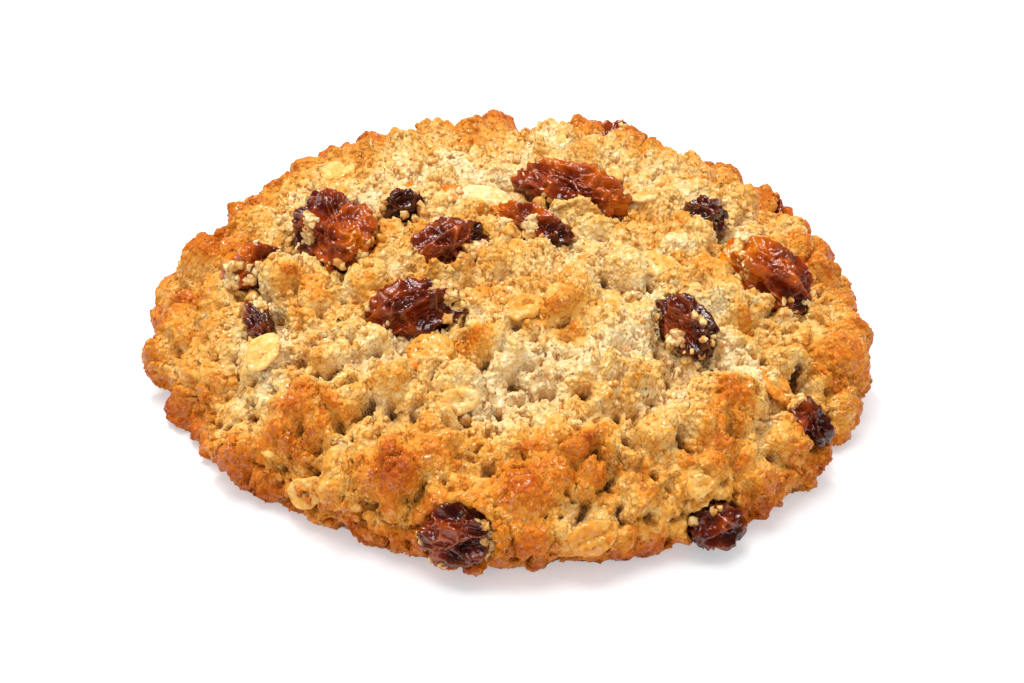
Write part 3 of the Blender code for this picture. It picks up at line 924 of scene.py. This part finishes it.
def run_tree(name, surface, tree, values):
    """Run a geometry tree on a mesh, with its named inputs set, and keep the result as an object."""
    carrier = put_in_scene(name + "_source", surface)
    modifier = carrier.modifiers.new(name, "NODES")
    modifier.node_group = tree
    for socket in tree.interface.items_tree:
        if socket.in_out == "INPUT" and socket.name in values:
            modifier[socket.identifier] = values[socket.name]
    evaluated = carrier.evaluated_get(bpy.context.evaluated_depsgraph_get())
    mesh = bpy.data.meshes.new_from_object(evaluated)
    bpy.data.objects.remove(carrier)
    mesh.name = name
    places = vertex_places(mesh)
    places[:, 2] = np.maximum(places[:, 2], 0.0)
    mesh.vertices.foreach_set("co", places.ravel())
    for layer in list(mesh.uv_layers):
        mesh.uv_layers.remove(layer)
    for helper in ("outward", "anchor"):
        if helper in mesh.attributes:
            mesh.attributes.remove(mesh.attributes[helper])
    write_bake_map(mesh, places[:, :2] / BAKE_SPAN + 0.5)
    print(name, "faces:", len(mesh.polygons), "height mm:", round(float(places[:, 2].max()) / MM, 1))
    return put_in_scene(name, mesh)


# %% [markdown]
# ## Where crumbs lie
#
# The open, pale dough of the crown and the cracks is crumbly, so most crumbs lie there. Toasted
# knobs are crusted over and hold fewer, smaller ones, which browned with them. Larger granules
# gather in patches and along the lips of the raisins' sockets. Each kind is a piece of its own.

# %% Scatter the crumbs
clusters = sample(lambda point: noise.fractal(point / 2.6, 0.8, 2.0, 3), skin)
clusters = smooth_step(-0.35, 0.45, clusters)
pale = 1 - smooth_step(0.24, 0.34, toast)
dark = smooth_step(0.44, 0.54, toast)
on_dough = 1 - smooth_step(0.7, 1.2, hollow)
for raisin in RAISINS:
    seen = in_frame(points, *raisin_frame(raisin))
    on_dough[(ring_of(seen, raisin) < 0.97) & (abs(seen[:, 2]) < raisin.thickness)] = 0.0
weights = {
    "pale_crumbs": on_dough * pale * (0.45 + 0.55 * clusters),
    "golden_crumbs": on_dough * (1 - pale) * (1 - dark) * (0.45 + 0.55 * clusters),
    "toasted_crumbs": on_dough * dark * (0.45 + 0.55 * clusters),
    "granules": on_dough * (0.10 + 0.5 * pale * clusters + 1.6 * socket_edge),
}
write_attributes(dough_mesh, {name: np.concatenate([weight, no_base])
                              for name, weight in weights.items()})

CRUMB_KINDS = (
    # name, per square millimetre, smallest and largest size, sunk share, sides, rings, seed
    ("pale_crumbs", 2.6, 0.60, 1.40, 0.66, 5, 3, 11),
    ("golden_crumbs", 3.6, 0.45, 1.15, 0.66, 5, 3, 12),
    ("toasted_crumbs", 3.3, 0.42, 0.98, 0.64, 5, 3, 14),
    ("granules", 0.35, 1.0, 1.7, 0.75, 8, 6, 13),
)
scattered = []
for name, amount, smallest, largest, sunk, sides, rings, seed in CRUMB_KINDS:
    scattered.append(run_tree(name, dough_mesh, crumb_tree, {
        "Where": name, "Per Square Millimetre": amount, "Smallest": smallest, "Largest": largest,
        "Sunk Share": sunk, "Sides": sides, "Rings": rings, "Finish": crumb_finish, "Seed": seed}))
for name in weights:
    dough_mesh.attributes.remove(dough_mesh.attributes[name])


# %% [markdown]
# ## Crumbs that cling to raisins
#
# Raisins are sticky, so crumbs of the dough around them stay on their skin, mostly near the socket's
# lip. The same node tree scatters them, over one mesh that joins the raisins' upper halves.

# %% Crumbs on raisins
Cluster = namedtuple("Cluster", "raisin right back reach")
CLUSTERS = [Cluster(*row) for row in (
    (1, -3.0, -1.8, 0.9), (2, -2.4, 0.4, 0.6), (3, 3.0, -1.8, 1.4), (3, 1.4, -3.2, 0.7),
    (4, -3.4, -0.6, 1.1), (4, 0.0, -2.2, 1.0), (7, -3.5, 2.2, 1.0), (8, -1.6, -3.2, 1.2),
    (8, 1.5, -1.3, 0.9), (9, 3.4, 1.6, 1.2), (9, 4.6, -0.6, 0.8), (10, 0.5, -2.8, 1.1),
    (10, -2.5, -1.8, 1.1), (10, 3.2, -1.0, 0.9), (11, 0.0, 1.6, 1.2), (12, -1.8, 1.5, 1.3),
    (13, 3.4, -0.8, 1.3), (14, -2.5, 0.5, 1.2))]
joined = bmesh.new()
for thing in raisins:
    joined.from_mesh(thing.data)
skins = bpy.data.meshes.new("raisin skins")
joined.to_mesh(skins)
joined.free()
places = vertex_places(skins) / MM
dusted = np.zeros(len(places))
start = 0
for number, (thing, raisin) in enumerate(zip(raisins, RAISINS), start=1):
    rows = slice(start, start + len(thing.data.vertices))
    start = rows.stop
    middle, turn = raisin_frame(raisin)
    seen = in_frame(places[rows], middle, turn)
    amount = 0.04 * smooth_step(0.75, 0.98, ring_of(seen, raisin))
    for cluster in CLUSTERS:
        if cluster.raisin == number:
            spot = np.array(middle)[:2] + np.array([cluster.right, cluster.back])
            apart = np.linalg.norm(places[rows, :2] - spot, axis=1)
            amount = np.maximum(amount, 1 - smooth_step(0.6 * cluster.reach, cluster.reach, apart))
    dusted[rows] = (seen[:, 2] > -0.1 * raisin.thickness) * amount
write_attributes(skins, {"dusted": dusted, "toast": np.full(len(places), 0.14),
                         "hollow": np.zeros(len(places))})
scattered.append(run_tree("clinging_crumbs", skins, crumb_tree, {
    "Where": "dusted", "Per Square Millimetre": 9.0, "Smallest": 0.35, "Largest": 1.45,
    "Sunk Share": 0.50, "Sides": 8, "Rings": 6, "Finish": crumb_finish, "Seed": 31}))


# %% [markdown]
# ## Oat flakes
#
# A rolled oat is a groat pressed flat: an oval of about 6 by 4 mm, slightly curled, with the groat's
# crease along it, and about a millimetre thick once it has swollen in the dough. One flake is
# modelled, and a node tree lays a copy at each spot of a list, at its own turn and size. Noise over
# the finished copies curls and frays each one differently. The flakes lie half under the crumb.

# %% One flake
FLAKE_LENGTH = 6.2
FLAKE_WIDTH = 4.2
FLAKE_THICKNESS = 1.1
FLAKE_CURL = 0.28
CREASE_DEPTH = 0.38
CREASE_WIDTH = 0.18


def unit_ball(sides, rings):
    """Points and faces of a ball, in rows from its top, so their order is the same on each run."""
    places = [(0.0, 0.0, 1.0)]
    for ring in range(1, rings):
        level, reach = math.cos(math.pi * ring / rings), math.sin(math.pi * ring / rings)
        for side in range(sides):
            angle = 2 * math.pi * side / sides
            places.append((reach * math.cos(angle), reach * math.sin(angle), level))
    places.append((0.0, 0.0, -1.0))
    ball_faces = []
    for side in range(sides):
        after = (side + 1) % sides
        ball_faces.append((0, 1 + side, 1 + after))
        for first in range(1, 1 + (rings - 2) * sides, sides):
            below = first + sides
            ball_faces.append((first + side, below + side, below + after, first + after))
        lowest = 1 + (rings - 2) * sides
        ball_faces.append((lowest + side, len(places) - 1, lowest + after))
    return places, ball_faces


def make_flake():
    """A closed oval flake with a crease, its long side along X, lying in the XY plane."""
    places, flake_faces = unit_ball(16, 10)
    shaped = []
    for x, y, z in places:
        reach = min(math.hypot(x, y), 1.0)
        angle = math.atan2(y, x)
        frayed = 1 + 0.05 * math.sin(3 * angle + 1) + 0.04 * math.sin(7 * angle)
        crease = -CREASE_DEPTH * math.exp(-(y / CREASE_WIDTH) ** 2) * (1 - reach ** 4) if z > 0 else 0.0
        height = math.copysign(abs(z) ** 0.6, z) * FLAKE_THICKNESS / 2 + crease * FLAKE_THICKNESS
        curl = FLAKE_CURL * reach ** 2 * math.cos(angle) ** 2
        shaped.append(Vector((x * frayed * FLAKE_LENGTH / 2, y * frayed * FLAKE_WIDTH / 2,
                              height - curl)) * MM)
    mesh = bpy.data.meshes.new("flake")
    mesh.from_pydata(shaped, [], flake_faces)
    return put_in_scene("flake", mesh)


flake = make_flake()
print("faces of one flake:", len(flake.data.polygons))

# %% Where flakes lie
Flake = namedtuple("Flake", "azimuth travel heading size lift toast tilt")
FLAKES = [Flake(*row) for row in (
    (282, 0.867, 28, 1.0, 0.70, 0.42, 0), (213, 0.645, 60, 0.90, 0.45, 0.28, 10),
    (259, 0.565, 20, 0.80, 0.05, 0.20, 25), (234, 0.62, 42, 0.90, -0.35, 0.26, 22),
    (112, 0.17, 0, 1.25, 0.00, 0.10, 8), (341, 0.35, -10, 0.95, -0.15, 0.28, 8),
    (248, 0.455, 0, 0.95, -0.25, 0.42, 10), (191, 0.74, 70, 1.10, -0.35, 0.34, 12),
    (299, 0.815, 0, 0.60, 0.60, 0.35, 0), (222, 0.42, 30, 0.90, 0.00, 0.25, 12),
    (275, 0.30, 40, 0.85, -0.2, 0.34, 10), (92, 0.36, 10, 1.00, 0.00, 0.20, 8),
    (60, 0.42, -30, 0.95, 0.00, 0.25, 10), (138, 0.52, 60, 0.95, 0.05, 0.25, 10))]
FLAKE_COUNT = 66
FLAKE_SEED = 20
randomly = random.Random(FLAKE_SEED)
while len(FLAKES) < FLAKE_COUNT:
    azimuth, travel = randomly.uniform(0, 360), randomly.uniform(0.12, 0.97)
    FLAKES.append(Flake(azimuth, travel, randomly.uniform(0, 180), randomly.uniform(0.6, 1.0),
                        randomly.uniform(-0.5, 0.0) - 0.8 * travel, randomly.uniform(0.2, 0.6),
                        randomly.uniform(-15, 15)))


def flake_spots():
    """A mesh with one point for each flake, and its turn, size and browning as attributes."""
    spots, turns, sizes, browned = [], [], [], []
    middles = [np.array(raisin_frame(raisin)[0]) for raisin in RAISINS]
    for laid in FLAKES:
        place, normal = crust_place(laid.azimuth, laid.travel)
        row = np.argmin(((skin - np.array(place)) ** 2).sum(1))
        spot = Vector(points[row]) + normal * laid.lift
        if any(np.linalg.norm(np.array(spot) - middle) < raisin.length / 2 + 1.0
               for middle, raisin in zip(middles, RAISINS)) or spot.z < 2.0:
            continue
        heading = math.radians(laid.heading)
        if laid.travel > 0.8:  # near the rim a flake lies along it, one end up
            turn = turn_on_crust(normal, math.radians(laid.azimuth + 90), 0.6 * math.sin(heading))
        else:
            turn = turn_on_crust(normal, heading)
        turn = turn @ Matrix.Rotation(math.radians(laid.tilt), 3, "X")
        spots.append(spot * MM)
        turns.append(turn.to_euler())
        sizes.append(laid.size)
        browned.append(max(laid.toast, 0.5 * float(toast[row])))
    mesh = bpy.data.meshes.new("flake spots")
    mesh.from_pydata(spots, [], [])
    mesh.attributes.new("turn", "FLOAT_VECTOR", "POINT").data.foreach_set(
        "vector", np.array(turns, np.float32).ravel())
    write_attributes(mesh, {"size": sizes, "toast": browned})
    return mesh


spot_mesh = flake_spots()
print("flakes laid:", len(spot_mesh.vertices))


# %% The node tree that lays flakes
CURL_SIZE = 4.0
FRAY_SIZE = 1.1


def build_flake_tree():
    """A geometry tree: a flake at each point of a mesh, turned, sized, and curled by noise."""
    tree, given = start_tree("oat flakes at spots", (
        ("Spots", "Geometry"), ("Flake", "Object"), ("Curl", "Float"), ("Fray", "Float"),
        ("Finish", "Material")), "Flakes")
    add = partial(add_node, tree)
    shape = add("GeometryNodeObjectInfo", {"Object": given["Flake"]})
    turn = add("GeometryNodeInputNamedAttribute", {"Name": "turn"}, data_type="FLOAT_VECTOR")
    size = add("GeometryNodeInputNamedAttribute", {"Name": "size"})
    flakes = add("GeometryNodeInstanceOnPoints",
                 {"Points": given["Spots"], "Instance": shape.outputs["Geometry"], "Scale": size,
                  "Rotation": add("FunctionNodeEulerToRotation", {"Euler": turn})})
    real = add("GeometryNodeRealizeInstances", {"Geometry": flakes})
    curled = push_by_noise(tree, real, CURL_SIZE, given["Curl"])
    frayed = push_by_noise(tree, curled, FRAY_SIZE, given["Fray"])
    end_tree(tree, frayed, given["Finish"], "Flakes")
    return tree


# %% [markdown]
# ## Rolled oat
#
# A baked flake is a bran-flecked cream that browns like the crumb round it, only smoother. So it
# shares the dough's finish with a shallower bump. A few crumbs stick to each flake.

# %% The flakes' finish
flake_finish = baked_dough("baked rolled oat", 0.26, 0.0)
flakes = run_tree("oat_flakes", spot_mesh, build_flake_tree(),
                  {"Flake": flake, "Curl": 1.2, "Fray": 0.65, "Finish": flake_finish})
bpy.data.objects.remove(flake)
scattered.append(run_tree("crumbs_on_flakes", flakes.data, crumb_tree, {
    "Where": "toast", "Per Square Millimetre": 1.8, "Smallest": 0.35, "Largest": 0.90,
    "Sunk Share": 0.50, "Sides": 5, "Rings": 3, "Finish": crumb_finish, "Seed": 41}))


# %% [markdown]
# ## The table, the light and the camera
#
# The cookie lies on a white table under a broad soft light, a little behind it, with plenty of light
# from all round. That keeps the cracks open and gives only a soft shadow where the rim meets the
# table.

# %% Table
TABLE_REACH = 3
TABLE_GLOW = 0.42
table_mesh = bpy.data.meshes.new("white_table")
table_corners = [(across * TABLE_REACH, back * TABLE_REACH, 0)
                 for across, back in ((-1, -1), (1, -1), (1, 1), (-1, 1))]
table_mesh.from_pydata(table_corners, [], [(0, 1, 2, 3)])
table = put_in_scene("white_table", table_mesh)
table_finish = bpy.data.materials.new("matt white laminate")
table_finish.use_nodes = True
fill_inputs(table_finish.node_tree, table_finish.node_tree.nodes["Principled BSDF"], {
    "Base Color": linear("C8C8C8"), "Roughness": 0.6, "Emission Color": linear("F4F6FA"),
    "Emission Strength": TABLE_GLOW})
table_mesh.materials.append(table_finish)
print("table:", 2 * TABLE_REACH, "m wide")

# %% Light
WORLD_LIGHT = 0.90
WORLD_IN_GLOSS = 0.08
WORLD_IN_VIEW = 1.05
LAMPS = (
    # name, strength, width as an angle, and the direction that it shines from
    ("softbox overhead", 2.15, 40, (-0.15, 0.16, 1.0)),
    ("bare lamp", 0.75, 7, (-0.22, 0.42, 1.0)),
)
scene = bpy.context.scene
world = bpy.data.worlds.new("white room")
scene.world = world
world.use_nodes = True
world.cycles.sampling_method = "NONE"
add = partial(add_node, world.node_tree)
ray = add("ShaderNodeLightPath").outputs
lit = add("ShaderNodeMapRange",
          {"Value": ray["Is Glossy Ray"], "To Min": WORLD_LIGHT, "To Max": WORLD_IN_GLOSS})
strength = add("ShaderNodeMapRange",
               {"Value": ray["Is Camera Ray"], "To Min": lit, "To Max": WORLD_IN_VIEW})
fill_inputs(world.node_tree, world.node_tree.nodes["Background"],
            {"Color": (1.0, 1.0, 1.0, 1.0), "Strength": strength})
for name, energy, width, direction in LAMPS:
    lamp = bpy.data.lights.new(name, "SUN")
    lamp.energy = energy
    lamp.angle = math.radians(width)
    put_in_scene(name, lamp).rotation_euler = Vector(direction).to_track_quat("Z", "Y").to_euler()
print("lamps:", [name for name, *_ in LAMPS])

# %% Camera
ELEVATION = 34.0
CAMERA_DISTANCE = 0.6
FOCAL_LENGTH = 174.3
AIM = Vector((0.0002, 0.0014, 0.0021))
camera_data = bpy.data.cameras.new("camera")
camera_data.lens = FOCAL_LENGTH
camera_data.sensor_width = 36.0
camera = put_in_scene("camera", camera_data)
back = Vector((0.0, -math.cos(math.radians(ELEVATION)), math.sin(math.radians(ELEVATION))))
camera.location = AIM + back * CAMERA_DISTANCE
camera.rotation_euler = (-back).to_track_quat("-Z", "Y").to_euler()
scene.camera = camera
scene.view_settings.view_transform = "Standard"
print("camera looks down at", ELEVATION, "degrees")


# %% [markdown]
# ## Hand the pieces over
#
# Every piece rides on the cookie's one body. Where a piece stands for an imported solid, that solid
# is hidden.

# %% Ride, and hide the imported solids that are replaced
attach(dough, "root")
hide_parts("dough")
for number, thing in enumerate(raisins, start=1):
    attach(thing, "root")
    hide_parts(f"raisin_{number:02d}")
for thing in scattered:
    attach(thing, "root")
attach(flakes, "root")
